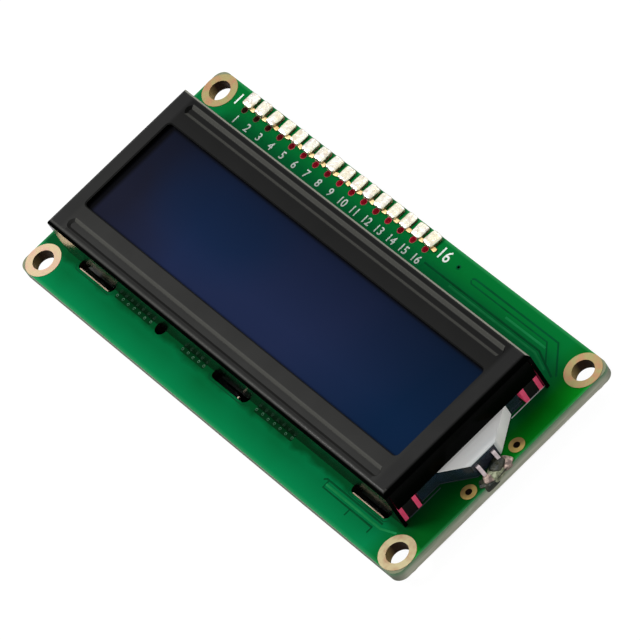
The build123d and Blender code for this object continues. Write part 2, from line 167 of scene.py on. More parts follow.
# Soft light from high in front and to the left, a pale surrounding, and a floor that keeps the shadow.
# The floor's glow is pure white where it lies open, with painted light through the corner holes and painted
# shade under the module.
lightSettings = {
    "lights": {"keyLight": ((-0.36, -0.3, 0.62), 0.3, 4.6), "fillLight": ((-0.2, 0.6, 0.5), 0.5, 2.0)},
    "ambient": 0.34,
    "floorSize": 3.0,
    "floorLevel": -3.42,
    "floorGrey": (0.5, 0.5, 0.5, 1),
    "floorWhite": 1.13,
    "floorCover": 0.86,
    "floorInGloss": 0.15,
    "shadeReach": 20.0,
    "shadeSamples": 32,
    "shadeDark": 0.11,
    "shadeOpen": 0.17,
    "under": (36.5, 13.2),
    "brightSpot": (34.4, 15.5, 0.0),
    "brightReach": (3.3, 2.2),
}


def addAreaLight(name, place, size, power):
    bpy.ops.object.light_add(type="AREA", location=place)
    lamp = bpy.context.object
    lamp.name = name
    lamp.rotation_euler = Vector(place).to_track_quat("Z", "Y").to_euler()
    lamp.data.size = size
    lamp.data.energy = power


def addWorld(settings):
    world = bpy.data.worlds.new("studioWorld")
    bpy.context.scene.world = world
    tree = emptied(world)
    ray = addNode(tree, "ShaderNodeLightPath").outputs
    direct = combine(tree, ray["Is Camera Ray"], ray["Is Glossy Ray"], "MAXIMUM")
    seen = combine(tree, direct, ray["Is Transmission Ray"], "MAXIMUM")
    strength = ramped(tree, seen, 0.0, 1.0, settings["ambient"])
    sky = addNode(tree, "ShaderNodeBackground", {"Color": white, "Strength": strength})
    addNode(tree, "ShaderNodeOutputWorld", {"Surface": sky.outputs[0]})


def addFloor(settings):
    bpy.ops.mesh.primitive_plane_add(size=settings["floorSize"], location=(0, 0, settings["floorLevel"] * mm))
    floor = bpy.context.object
    floor.name = "studioFloor"
    finish = bpy.data.materials.new("floorPaper")
    tree = emptied(finish)
    ray = addNode(tree, "ShaderNodeLightPath").outputs
    gloss = combine(tree, ray["Is Glossy Ray"], settings["floorInGloss"])
    direct = combine(tree, ray["Is Camera Ray"], ray["Is Transmission Ray"], "MAXIMUM")
    cover = combine(tree, combine(tree, direct, gloss, "MAXIMUM"), settings["floorCover"])
    clear = addNode(tree, "ShaderNodeAmbientOcclusion", {"Distance": settings["shadeReach"] * mm},
                    samples=settings["shadeSamples"]).outputs["AO"]
    size = unsigned(tree, addNode(tree, "ShaderNodeTexCoord").outputs["Object"])
    sizeX, sizeY, _ = axes(tree, size)
    # painted shade on the floor under the module, and painted light where light falls through the corner
    # holes
    clear = combine(tree, clear, within(tree, sizeX, sizeY, settings["under"]), "SUBTRACT")
    away = addNode(tree, "ShaderNodeVectorMath", {0: size, 1: Vector(settings["brightSpot"]) * mm},
                   operation="DISTANCE").outputs["Value"]
    clear = combine(tree, clear, spanned(tree, away, settings["brightReach"]), "ADD")
    glow = ramped(tree, clear, settings["shadeDark"], settings["shadeOpen"], 0.0, settings["floorWhite"])
    paper = addNode(tree, "ShaderNodeBsdfDiffuse", {"Color": settings["floorGrey"]})
    bright = addNode(tree, "ShaderNodeEmission", {"Color": white, "Strength": glow})
    blend = addNode(tree, "ShaderNodeMixShader", {0: cover, 1: paper.outputs[0], 2: bright.outputs[0]})
    addNode(tree, "ShaderNodeOutputMaterial", {"Surface": blend.outputs[0]})
    floor.data.materials.append(finish)


for name, (place, size, power) in lightSettings["lights"].items():
    addAreaLight(name, place, size, power)
addWorld(lightSettings)
addFloor(lightSettings)
bpy.context.scene.view_settings.view_transform = "Standard"
print("light and floor set")


# A finish starts as a material with a main shader and the place on the piece
def newFinish(name, **sockets):
    finish = bpy.data.materials.new(name)
    finish.use_nodes = True
    tree = finish.node_tree
    shader = tree.nodes["Principled BSDF"]
    for key, value in sockets.items():
        shader.inputs[key.replace("_", " ")].default_value = value
    place = addNode(tree, "ShaderNodeTexCoord").outputs["Object"]
    return finish, tree, shader, place


def noise(tree, place, grain, detail=3.0, stretch=None):
    # noise whose grains are about so many millimetres across, drawn out by stretch along each axis
    if stretch:
        scale = tuple(1 / part for part in stretch)
        place = addNode(tree, "ShaderNodeMapping", {"Vector": place, "Scale": scale}).outputs[0]
    sockets = {"Vector": place, "Scale": 1 / (grain * mm), "Detail": detail}
    return addNode(tree, "ShaderNodeTexNoise", sockets).outputs["Fac"]


def between(tree, factor, low, high, start=0.3, end=0.7):
    # a colour that runs from low to high as factor goes from start to end
    ramp = addNode(tree, "ShaderNodeValToRGB", {"Fac": factor})
    for stop, position, colour in zip(ramp.color_ramp.elements, (start, end), (low, high)):
        stop.position = position
        stop.color = colour
    return ramp.outputs["Color"]


def spread(tree, factor, low, high):
    # a number that runs from low to high over the middle of a noise
    return ramped(tree, factor, 0.3, 0.7, low, high)


def stain(tree, base, colour, factor, share=1.0):
    # base with a share of colour laid over it where factor is one
    return addNode(tree, "ShaderNodeMix", {0: combine(tree, factor, share), 6: base, 7: colour},
                   data_type="RGBA").outputs[2]


def paint(tree, shader, colour):
    tree.links.new(colour, shader.inputs["Base Color"])


def roughen(tree, shader, place, grain, detail, depth):
    # bump of about depth millimetres
    sockets = {"Height": noise(tree, place, grain, detail), "Distance": depth * mm, "Strength": 1.0}
    bump = addNode(tree, "ShaderNodeBump", sockets)
    tree.links.new(bump.outputs[0], shader.inputs["Normal"])


def scuff(tree, shader, place, grain, low, high):
    # gloss that is sharper in some patches and softer in others
    tree.links.new(spread(tree, noise(tree, place, grain), low, high), shader.inputs["Roughness"])


def mottle(made, low, high, grain, detail=3.0, start=0.3, end=0.7, bumpGrain=None, bumpDetail=3.0,
           bumpDepth=0.004):
    # a new finish in patches that run from low to high, with a bump of its own grain
    finish, tree, shader, place = made
    paint(tree, shader, between(tree, noise(tree, place, grain, detail), low, high, start, end))
    if bumpGrain:
        roughen(tree, shader, place, bumpGrain, bumpDetail, bumpDepth)
    return finish


# Green solder mask on both faces, bare laminate on the edges and on the corners outside the rings, with light
# and shade painted on both
boardSettings = {
    "mask": tint(0, 122, 70),
    "maskDeep": tint(0, 103, 53),
    "maskCloud": 14.0,
    "maskFrontRim": tint(2, 142, 82),
    "frontRimY": (-14.8, -18.0),
    "frontRimShare": 0.75,
    "maskBack": tint(0, 108, 42),
    "backY": (11.8, 15.5),
    "backShare": 0.85,
    "maskLampEnd": tint(2, 98, 22),
    "lampEndX": (33.0, 37.0),
    "maskLampRim": tint(2, 134, 26),
    "lampRimX": (35.8, 38.0),
    "lampEndDeep": tint(0, 56, 8),
    "deepBand": (6.8, 6.0, 3.0),
    "deepShare": 0.45,
    "foot": tint(0, 62, 24),
    "footY": (-14.1, -13.2),
    "footShare": 0.78,
    "footGrain": 2.6,
    "footWander": 0.4,
    "frontFaceZ": -0.8,
    "rim": tint(84, 190, 126),
    "rimX": (39.55, 40.0),
    "rimY": (17.55, 18.0),
    "rimShare": (0.3, 0.28),
    "laminate": tint(222, 224, 204),
    "laminateDark": tint(196, 196, 174),
    "weave": (6, 6, 0.35),
    "weaveGrain": 0.5,
    "laminateSide": tint(60, 72, 60),
    "sideShare": 0.78,
    "laminateTop": tint(120, 160, 124),
    "topZ": (-0.9, -0.1),
    "laminateInside": tint(40, 32, 22),
    "inside": (37.3, 15.2),
    "bareCorner": tint(132, 138, 112),
    "cornerSum": 55.3,
    "cornerGrain": 1.1,
    "cornerWander": 0.4,
}


def boardFinish(settings):
    finish, tree, shader, place = newFinish("greenBoard", Roughness=0.4, Specular_IOR_Level=0.02)
    x, y, z = axes(tree, place)
    sizeX, sizeY, _ = axes(tree, unsigned(tree, place))
    _, sideways, upward = axes(tree, unsigned(tree, facingOf(tree)))
    front = above(tree, z, settings["frontFaceZ"] * mm)
    face = above(tree, upward, 0.5)

    mask = between(tree, noise(tree, place, settings["maskCloud"]), settings["maskDeep"], settings["mask"])
    # painted light: a lighter strip along the front
    frontRim = spanned(tree, y, settings["frontRimY"])
    mask = stain(tree, mask, settings["maskFrontRim"], frontRim, settings["frontRimShare"])
    # painted shade on the back strip, behind the bezel
    mask = stain(tree, mask, settings["maskBack"], spanned(tree, y, settings["backY"]), settings["backShare"])
    # painted shade at the lamp end beside the bezel, lighter towards the board's edge and darkest in a band
    # across the middle
    lampRim = spanned(tree, x, settings["lampRimX"])
    lampEnd = stain(tree, settings["maskLampEnd"], settings["maskLampRim"], lampRim)
    deep = band(tree, y, *settings["deepBand"])
    lampEnd = stain(tree, lampEnd, settings["lampEndDeep"], deep, settings["deepShare"])
    mask = stain(tree, mask, lampEnd, spanned(tree, x, settings["lampEndX"]), front)
    # painted shade along the foot of the bezel's front wall
    wander = settings["footWander"] * mm
    footY = combine(tree, y, spread(tree, noise(tree, place, settings["footGrain"]), -wander, wander), "ADD")
    foot = combine(tree, spanned(tree, footY, settings["footY"]), below(tree, footY, 0))
    mask = stain(tree, mask, settings["foot"], combine(tree, foot, front), settings["footShare"])
    # painted highlights along the board's rims
    ends = combine(tree, spanned(tree, sizeX, settings["rimX"]), settings["rimShare"][0])
    sides = combine(tree, spanned(tree, sizeY, settings["rimY"]), settings["rimShare"][1])
    mask = stain(tree, mask, settings["rim"], combine(tree, ends, sides, "MAXIMUM"))

    layers = noise(tree, place, settings["weaveGrain"], detail=4, stretch=settings["weave"])
    laminate = between(tree, layers, settings["laminateDark"], settings["laminate"])
    # painted shade on the laminate's long sides, and inside the holes and slots
    laminate = stain(tree, laminate, settings["laminateSide"], sideways, settings["sideShare"])
    laminate = stain(tree, laminate, settings["laminateTop"], spanned(tree, z, settings["topZ"]))
    inside = within(tree, sizeX, sizeY, settings["inside"])
    laminate = stain(tree, laminate, settings["laminateInside"], inside)
    laminate = stain(tree, laminate, settings["bareCorner"], face)

    # the mask ends on the corners along a slanting, wavering line
    wobble = noise(tree, place, settings["cornerGrain"], detail=4)
    wobble = combine(tree, wobble, settings["cornerWander"] * mm)
    total = combine(tree, combine(tree, sizeX, sizeY, "ADD"), wobble, "ADD")
    green = combine(tree, face, below(tree, total, settings["cornerSum"] * mm))
    paint(tree, shader, stain(tree, laminate, mask, green))
    roughen(tree, shader, place, grain=0.5, detail=2, depth=0.002)
    return finish


# Gaps in the copper show darker through the mask, and tracks lighter
def trackFinish(name, colour, shade):
    made = newFinish(name, Roughness=0.4, Specular_IOR_Level=0.02)
    return mottle(made, shade, colour, grain=3.0, bumpGrain=0.3)


# Thin gold over copper, with warm and cool patches, and painted shade, dull and brown, on its sides and down
# inside the holes
goldSettings = {"pale": tint(172, 158, 124), "warm": tint(156, 126, 98), "inside": tint(58, 46, 30)}
ringGoldSettings = {"pale": tint(196, 170, 98), "warm": tint(140, 112, 66), "inside": tint(48, 30, 14)}
spotGoldSettings = {"pale": tint(238, 214, 160), "warm": tint(216, 178, 120), "inside": tint(120, 90, 60)}

# The corner rings are yellower towards the back and palest at the far front corner, and their holes
# catch light on the front side
mountGoldSettings = {
    "pale": tint(178, 166, 128),
    "warm": tint(161, 132, 101),
    "inside": tint(52, 32, 12),
    "insideLit": tint(203, 175, 108),
    "litFacing": (-0.12, 0.95),
    "patch": 1.4,
    "back": (tint(146, 136, 84), tint(166, 124, 88)),
    "backY": (-10.0, 10.0),
    "backShare": 0.8,
    "corner": (tint(196, 174, 140), tint(210, 172, 154)),
    "cornerShare": 0.6,
    "cornerLit": 0.5,
}


def goldFinish(name, settings):
    finish, tree, shader, place = newFinish(name, Metallic=0.7, Roughness=0.5)
    patches = noise(tree, place, settings.get("patch", 3.0), detail=2)
    plated = between(tree, patches, settings["pale"], settings["warm"], start=0.4, end=0.68)
    # painted shade on the sides and down inside the holes
    inside = settings["inside"]
    _, sideways, upward = axes(tree, facingOf(tree))
    if "back" in settings:
        x, y, _ = axes(tree, place)
        corner = combine(tree, below(tree, x, 0), below(tree, y, 0))
        backward = spanned(tree, y, settings["backY"])
        for area, where in (("back", backward), ("corner", corner)):
            patched = between(tree, patches, *settings[area], start=0.4, end=0.62)
            plated = stain(tree, plated, patched, where, settings[area + "Share"])
        # painted light on the front side of the holes' walls, dimmer in the far front corner
        lit = ramped(tree, sideways, *settings["litFacing"])
        dim = ramped(tree, corner, 0.0, 1.0, 1.0, settings["cornerLit"])
        inside = stain(tree, inside, settings["insideLit"], lit, dim)
    paint(tree, shader, stain(tree, inside, plated, above(tree, absolute(tree, upward), 0.5)))
    scuff(tree, shader, place, grain=0.5, low=0.42, high=0.58)
    roughen(tree, shader, place, grain=0.25, detail=4, depth=0.004)
    return finish


# Bright solder, uneven, with a faint cream and pink cast
solderSettings = {"bright": tint(246, 246, 240), "cast": tint(206, 190, 186), "cream": tint(234, 224, 186)}


def solderFinish(settings):
    finish, tree, shader, place = newFinish("solder", Metallic=0.9, Roughness=0.28)
    patches = noise(tree, place, grain=0.7, detail=4)
    colour = between(tree, patches, settings["bright"], settings["cast"], start=0.45, end=0.66)
    creamy = spread(tree, noise(tree, place, grain=1.6, detail=2), low=0.0, high=0.8)
    paint(tree, shader, stain(tree, colour, settings["cream"], creamy))
    scuff(tree, shader, place, grain=0.4, low=0.2, high=0.38)
    roughen(tree, shader, place, grain=0.5, detail=3, depth=0.12)
    return finish


# Satin black paint on the bezel, with light and shade painted on: a painted sheen paler at the front, painted
# highlights along the bends and ribs, painted shade, near black, on the walls.
# A line has its colour, its place along Y, its width and its share. The spans whose names
# don't end in X, Y or Z say how far a face is turned towards an axis.
blackPaintSettings = {
    # painted sheen: paler at the front, darker at the back, and lighter at the ends
    "front": tint(52, 52, 51),
    "back": tint(17, 17, 17),
    "acrossY": (-12.1, 12.1),
    "ends": tint(42, 42, 42),
    "endsX": (32.7, 33.3),
    "endsShare": 0.75,
    # near black: painted shade on the walls and in the slots, and dark clouds on the top
    "wall": tint(4, 5, 4),
    "cloud": 5.0,
    "cloudShare": 0.16,
    # painted highlights on the bends and ribs, and painted shade in the grooves
    "worn": tint(84, 84, 80),
    "wornBack": tint(158, 158, 146),
    "groove": tint(16, 15, 15),
    "lines": [("worn", -10.08, 0.26, 0.85), ("groove", -11.66, 0.16, 0.5), ("worn", 9.16, 0.22, 0.75),
              ("worn", 10.33, 0.38, 0.8)],
    "lineSoft": 0.14,
    "lineReach": 32.2,
    "slope": (0.95, 0.78),
    "slopeBack": (0.1, 0.5),
    "slopeShare": 0.45,
    "middleY": -0.5,
    "bendAside": 11.13,
    "bendAlong": 34.55,
    "bendTurn": (0.88, 0.76),
    "endTurn": (0.15, 0.55),
    "wallTurn": (0.45, 0.3),
    "frontBendY": -11.62,
    "frontBend": (0.93, 0.06, 0.04),
    "frontBendShare": 0.4,
    "backBendY": 10.75,
    "backBend": (0.5, 0.7),
    "backBendUp": (0.2, 0.4),
    "slotZ": (0.0, -0.2),
    "wallGloss": (0.06, 0.02),
    "glossTurn": (0.3, 0.8),
    "farGloss": 1.0,
    "farX": (-28.5, -32.0),
    "farFacing": -0.9,
    "dullLow": (0.02, 0.08),
    "dullHigh": (0.9, 0.8),
    "pebble": 0.12,
}


def blackPaintFinish(settings):
    finish, tree, shader, place = newFinish("blackPaint", Roughness=0.24, Specular_IOR_Level=0.1)
    x, y, z = axes(tree, place)
    endward, sideways, upward = axes(tree, facingOf(tree))
    along = absolute(tree, x)
    aside = absolute(tree, combine(tree, y, settings["middleY"] * mm, "SUBTRACT"))

    # the flat top, with its painted sheen, its painted highlight and shade lines, and painted shade on the
    # slopes of its ribs
    top = stain(tree, settings["front"], settings["back"], spanned(tree, y, settings["acrossY"]))
    top = stain(tree, top, settings["ends"], spanned(tree, along, settings["endsX"]), settings["endsShare"])
    cloud = spread(tree, noise(tree, place, settings["cloud"]), 0.0, settings["cloudShare"])
    top = stain(tree, top, settings["wall"], cloud)
    onRib = below(tree, along, settings["lineReach"] * mm)
    for name, middle, width, share in settings["lines"]:
        line = combine(tree, band(tree, y, middle, width, settings["lineSoft"]), onRib)
        top = stain(tree, top, settings[name], line, share)
    slope = combine(tree, ramped(tree, upward, *settings["slope"]), below(tree, y, 0))
    slope = combine(tree, slope, ramped(tree, sideways, *settings["slopeBack"]))
    top = stain(tree, top, settings["groove"], slope, settings["slopeShare"])

    # the outer bends and the walls in painted shade, painted highlights on the front and back bends, and
    # painted shade in the slots
    outer = combine(tree, above(tree, aside, settings["bendAside"] * mm),
                    above(tree, along, settings["bendAlong"] * mm), "MAXIMUM")
    turned = combine(tree, ramped(tree, upward, *settings["bendTurn"]),
                     ramped(tree, endward, *settings["endTurn"]), "MAXIMUM")
    wall = ramped(tree, upward, *settings["wallTurn"])
    dark = combine(tree, combine(tree, turned, outer), wall, "MAXIMUM")
    colour = stain(tree, top, settings["wall"], dark)
    frontBend = combine(tree, below(tree, y, settings["frontBendY"] * mm),
                        band(tree, upward, *settings["frontBend"], unit=1))
    colour = stain(tree, colour, settings["worn"], frontBend, settings["frontBendShare"])
    backBend = combine(tree, ramped(tree, sideways, *settings["backBend"]),
                       ramped(tree, upward, *settings["backBendUp"]))
    backBend = combine(tree, backBend, above(tree, y, settings["backBendY"] * mm))
    colour = stain(tree, colour, settings["wornBack"], backBend)
    inSlot = spanned(tree, z, settings["slotZ"])
    paint(tree, shader, stain(tree, colour, settings["wall"], inSlot))

    # the gloss is dull under the bends and in the slots, and full at the far end of the front wall
    gloss = ramped(tree, ramped(tree, endward, *settings["glossTurn"]), 0.0, 1.0, *settings["wallGloss"])
    farEnd = combine(tree, spanned(tree, x, settings["farX"]), below(tree, sideways, settings["farFacing"]))
    gloss = combine(tree, gloss, combine(tree, farEnd, settings["farGloss"]), "MAXIMUM")
    dull = combine(tree, ramped(tree, upward, *settings["dullLow"]),
                   ramped(tree, upward, *settings["dullHigh"]))
    dull = combine(tree, dull, inSlot, "MAXIMUM")
    gloss = combine(tree, gloss, combine(tree, 1.0, dull, "SUBTRACT"))
    tree.links.new(gloss, shader.inputs["Specular IOR Level"])
    scuff(tree, shader, place, grain=1.5, low=0.14, high=0.2)
    roughen(tree, shader, place, grain=settings["pebble"], detail=4, depth=0.001)
    return finish


# Dark blue film over the cell, with painted reflections, violet grey at the far end and a patch of teal,
# painted shade darker towards the back, and the bezel's painted shadow along two of the window's edges
polariserSettings = {
    "farEnd": tint(24, 26, 42),
    "middle": tint(27, 37, 68),
    "farX": (-31.0, -19.0),
    "lampEnd": tint(8, 31, 60),
    "lampX": (8.0, 31.0),
    "wanderGrain": 18.0,
    "wander": 10.0,
    "teal": tint(4, 34, 66),
    "tealShare": 0.5,
    "tealMiddle": (-16.0, 1.5),
    "tealSquash": 1.7,
    "tealReach": (15.0, 5.0),
    "deep": tint(5, 11, 24),
    "deepY": (-4.0, 7.5),
    "deepShare": 0.6,
    "shadow": tint(6, 6, 9),
    "litX": (-32.2, -31.5),
    "litY": (6.9, 6.45),
}


def polariserFinish(settings):
    finish, tree, shader, place = newFinish("polariser", Roughness=0.3, Specular_IOR_Level=0.02)
    x, y, _ = axes(tree, place)
    wander = settings["wander"] * mm
    shift = noise(tree, place, settings["wanderGrain"], detail=1.5)
    along = combine(tree, x, ramped(tree, shift, 0.0, 1.0, -wander, wander), "ADD")
    # painted reflections along the film: violet grey at the far end, bluer at the lamp end, and a teal patch
    colour = stain(tree, settings["farEnd"], settings["middle"], spanned(tree, along, settings["farX"]))
    colour = stain(tree, colour, settings["lampEnd"], spanned(tree, along, settings["lampX"]))
    middleX, middleY = settings["tealMiddle"]
    sideways = combine(tree, along, middleX * mm, "SUBTRACT")
    across = combine(tree, combine(tree, y, middleY * mm, "SUBTRACT"), settings["tealSquash"])
    reach = addNode(tree, "ShaderNodeCombineXYZ", {0: sideways, 1: across}).outputs[0]
    reach = addNode(tree, "ShaderNodeVectorMath", {0: reach}, operation="LENGTH").outputs["Value"]
    teal = spanned(tree, reach, settings["tealReach"])
    colour = stain(tree, colour, settings["teal"], teal, settings["tealShare"])
    # painted shade towards the back, and the bezel's painted shadow at the window's edges
    colour = stain(tree, colour, settings["deep"], spanned(tree, y, settings["deepY"]), settings["deepShare"])
    lit = combine(tree, spanned(tree, x, settings["litX"]), spanned(tree, y, settings["litY"]))
    paint(tree, shader, stain(tree, settings["shadow"], colour, lit))
    roughen(tree, shader, place, grain=0.4, detail=2, depth=0.001)
    return finish


def filmFinish(name, colour, shade):
    made = newFinish(name, Roughness=0.55, Specular_IOR_Level=0.25)
    return mottle(made, shade, colour, grain=5.0, bumpGrain=0.25, bumpDepth=0.003)


# The nose's cover has a painted glow, most near the bezel and least at its tip, and painted shade at the tip
coverSettings = {
    "film": tint(246, 244, 240),
    "shade": tint(230, 234, 236),
    "tip": tint(198, 206, 206),
    "tipX": (37.6, 37.95),
    "glow": 0.16,
    "tipGlow": 0.6,
    "nearGlow": 0.08,
    "nearX": (37.2, 36.5),
}


def coverFinish(settings):
    finish, tree, shader, place = newFinish("coverFilm", Roughness=0.55, Specular_IOR_Level=0.25,
                                            Emission_Color=settings["film"])
    x, _, _ = axes(tree, place)
    film = between(tree, noise(tree, place, grain=5.0), settings["shade"], settings["film"])
    # painted shade at the tip, and a painted glow that fades towards it
    tip = spanned(tree, x, settings["tipX"])
    paint(tree, shader, stain(tree, film, settings["tip"], tip))
    near = combine(tree, spanned(tree, x, settings["nearX"]), settings["nearGlow"])
    dim = ramped(tree, tip, 0.0, 1.0, 1.0, settings["tipGlow"])
    glow = combine(tree, combine(tree, near, settings["glow"], "ADD"), dim)
    tree.links.new(glow, shader.inputs["Emission Strength"])
    roughen(tree, shader, place, grain=0.25, detail=3, depth=0.003)
    return finish


def rubberFinish(name, colour, shade, glow=0.0, glowZ=(3.2, 2.9)):
    # glow is painted light, a glow at the rubber's open lower ends
    made = newFinish(name, Roughness=0.6, Specular_IOR_Level=0.3, Emission_Color=shade)
    if glow:
        _, tree, shader, place = made
        low = spanned(tree, axes(tree, place)["Z"], glowZ)
        tree.links.new(combine(tree, low, glow), shader.inputs["Emission Strength"])
    return mottle(made, shade, colour, grain=1.2, detail=4, bumpGrain=0.1, bumpDepth=0.006)


def chipFinish(name, colour, shade, gloss):
    made = newFinish(name, Roughness=gloss, Specular_IOR_Level=0.4)
    return mottle(made, shade, colour, grain=0.3, detail=5, bumpGrain=0.08)


def lumpFinish(name, colour, shade, metal=0.0):
    # old solder and flux, lumpy and blotched
    made = newFinish(name, Roughness=0.42, Specular_IOR_Level=0.4, Metallic=metal)
    return mottle(made, shade, colour, grain=0.6, detail=4, start=0.4, end=0.6, bumpGrain=0.55,
                  bumpDepth=0.25)


# The holes' copper sleeves go from brown at the first pins to crimson further along
sleeveSettings = {
    "brown": tint(120, 84, 58),
    "crimson": tint(255, 74, 112),
    "crimsonX": (-28.0, -21.0),
    "dark": tint(96, 40, 40),
    "darkShare": 0.6,
}


def sleeveFinish(settings):
    finish, tree, shader, place = newFinish("copperSleeve", Roughness=0.4, Specular_IOR_Level=0.4)
    along = spanned(tree, axes(tree, place)["X"], settings["crimsonX"])
    colour = stain(tree, settings["brown"], settings["crimson"], along)
    patches = spread(tree, noise(tree, place, grain=2.0, detail=2), 0.0, settings["darkShare"])
    paint(tree, shader, stain(tree, colour, settings["dark"], patches))
    roughen(tree, shader, place, grain=0.2, detail=3, depth=0.01)
    return finish


tinned = newFinish("tinnedLead", Metallic=0.9, Roughness=0.35)
glass = newFinish("clearGlass", Roughness=0.02, IOR=1.49, Transmission_Weight=1.0)
# clear acrylic looks slate blue, because only dark lies behind it
acrylic = newFinish("clearAcrylic", Roughness=0.2, IOR=1.49, Transmission_Weight=0.5)
resin = newFinish("blackResin", Roughness=0.22, Specular_IOR_Level=0.3)
ink = newFinish("whiteInk", Roughness=0.6, Specular_IOR_Level=0.2)
finishOf = {
    "green_board": boardFinish(boardSettings),
    "gold_plating": goldFinish("goldPlating", goldSettings),
    "solder": solderFinish(solderSettings),
    "tinned_lead": mottle(tinned, tint(226, 210, 212), tint(188, 176, 178), grain=0.6, detail=4,
                          bumpGrain=0.15, bumpDepth=0.005),
    "black_steel": blackPaintFinish(blackPaintSettings),
    "polariser": polariserFinish(polariserSettings),
    "clear_glass": mottle(glass, tint(205, 225, 220), tint(235, 240, 240), grain=6.0),
    "seal_resin": chipFinish("sealResin", tint(205, 195, 165), tint(180, 168, 140), gloss=0.5),
    "black_rubber": rubberFinish("blackRubber", tint(7, 7, 7), tint(3, 3, 3)),
    "pink_rubber": rubberFinish("pinkRubber", tint(255, 112, 150), tint(250, 78, 120), glow=0.22),
    "clear_acrylic": mottle(acrylic, tint(62, 80, 84), tint(66, 92, 118), grain=2.5, detail=2),
    "white_film": filmFinish("whiteFilm", tint(244, 244, 240), tint(232, 236, 236)),
    "lamp_resin": chipFinish("lampResin", tint(60, 66, 78), tint(36, 40, 52), gloss=0.25),
    "black_resin": mottle(resin, tint(12, 12, 13), tint(20, 20, 20), grain=3.0, bumpGrain=2.2, bumpDetail=2,
                          bumpDepth=0.03),
    "resistor_coat": chipFinish("resistorCoat", tint(30, 30, 33), tint(18, 18, 20), gloss=0.4),
    "capacitor_body": chipFinish("capacitorBody", tint(178, 146, 110), tint(150, 118, 84), gloss=0.5),
}
inkWhite = mottle(ink, tint(206, 224, 214), tint(240, 244, 240), grain=0.25, detail=4, end=0.6)
spotGold = goldFinish("spotGold", spotGoldSettings)
maskGap = trackFinish("maskGap", tint(0, 84, 46), tint(0, 70, 36))
maskTrack = trackFinish("maskTrack", tint(30, 138, 78), tint(16, 122, 64))
# dark mask, and painted shade at the bezel's foot
maskGroove = trackFinish("maskGroove", tint(0, 58, 26), tint(0, 44, 16))
maskDot = trackFinish("maskDot", tint(92, 134, 108), tint(56, 98, 74))
bareLip = trackFinish("bareLip", tint(226, 206, 182), tint(168, 140, 118))
# painted shade: a darker copy of the white film, for edges that lie in shade
filmEdge = filmFinish("filmEdge", tint(70, 84, 88), tint(50, 60, 62))
oldSolder = lumpFinish("oldSolder", tint(204, 180, 166), tint(114, 98, 92), metal=0.3)
fluxResin = lumpFinish("fluxResin", tint(184, 190, 156), tint(112, 118, 88))
# burnt flux, and painted shade between the lamp's leads
burntFlux = lumpFinish("burntFlux", tint(50, 52, 36), tint(8, 20, 12))
copperSleeve = sleeveFinish(sleeveSettings)

for part in frame["record"]["subparts"]:
    node[part["node"]].data.materials.clear()
    node[part["node"]].data.materials.append(finishOf[part["material_slot"]])
# the reflector's seen edge takes the darker copy of the white film, as painted shade
node["reflector_film"].data.materials[0] = filmEdge
node["nose_cover"].data.materials[0] = coverFinish(coverSettings)
node["test_pads"].data.materials[0] = goldFinish("ringGold", ringGoldSettings)
node["mounting_hole_plating"].data.materials[0] = goldFinish("mountGold", mountGoldSettings)
print("finishes given to the frame")


# Making pieces: nothing else stays selected, and each piece ends with its place in its mesh
def deselect():
    bpy.ops.object.select_all(action="DESELECT")


def selectOnly(*pieces):
    deselect()
    for piece in pieces:
        piece.select_set(True)
    bpy.context.view_layer.objects.active = pieces[0]


def finishPiece(piece, name, material):
    selectOnly(piece)
    bpy.ops.object.transform_apply(location=True, rotation=True, scale=True)
    piece.name = name
    piece.data.name = name
    piece.data.materials.append(material)
    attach(piece, "root")
    return piece


def joined(pieces):
    selectOnly(*pieces)
    if len(pieces) > 1:
        bpy.ops.object.join()
    return bpy.context.object


def copyTo(piece, x, y):
    # a copy with its own mesh, in millimetres
    selectOnly(piece)
    bpy.ops.object.duplicate()
    twin = bpy.context.object
    twin.location = (x * mm, y * mm, piece.location.z)
    return twin


def choose(piece, kind, wanted):
    # selects only the wanted faces or edges and opens the piece for modelling
    bpy.ops.object.mode_set(mode="EDIT")
    bpy.ops.mesh.select_mode(type=kind)
    bpy.ops.mesh.select_all(action="DESELECT")
    bpy.ops.object.mode_set(mode="OBJECT")
    for part in piece.data.polygons if kind == "FACE" else piece.data.edges:
        part.select = wanted(part)
    bpy.ops.object.mode_set(mode="EDIT")


def isUpright(piece, edge):
    first, second = (piece.data.vertices[index].co for index in edge.vertices)
    return abs(first.x - second.x) + abs(first.y - second.y) < 0.01 * mm


def sway(index, pace, amount):
    # stands in for chance, and is the same in each run
    return amount * sin(index * pace)


def modelMound(width, length, height, corner, crown, rise=0.3):
    # solder is a block with cut corners, a crown raised by a share of its height, and rounded sides
    deselect()
    bpy.ops.mesh.primitive_cube_add(size=1, location=(0, 0, height / 2 * mm))
    mound = bpy.context.object
    mound.scale = (width * mm, length * mm, height * mm)
    bpy.ops.object.transform_apply(scale=True)
    choose(mound, "EDGE", lambda edge: isUpright(mound, edge))
    bpy.ops.mesh.bevel(offset=corner * mm, segments=2)
    choose(mound, "FACE", lambda face: face.normal.z > 0.9)
    bpy.ops.mesh.inset(thickness=crown * mm, use_even_offset=True)
    bpy.ops.transform.translate(value=(0, 0, height * rise * mm))
    bpy.ops.object.mode_set(mode="OBJECT")
    rounding = mound.modifiers.new("rounding", "SUBSURF")
    rounding.levels = rounding.render_levels = 2
    bpy.ops.object.modifier_apply(modifier=rounding.name)
    bpy.ops.object.shade_smooth()
    return mound


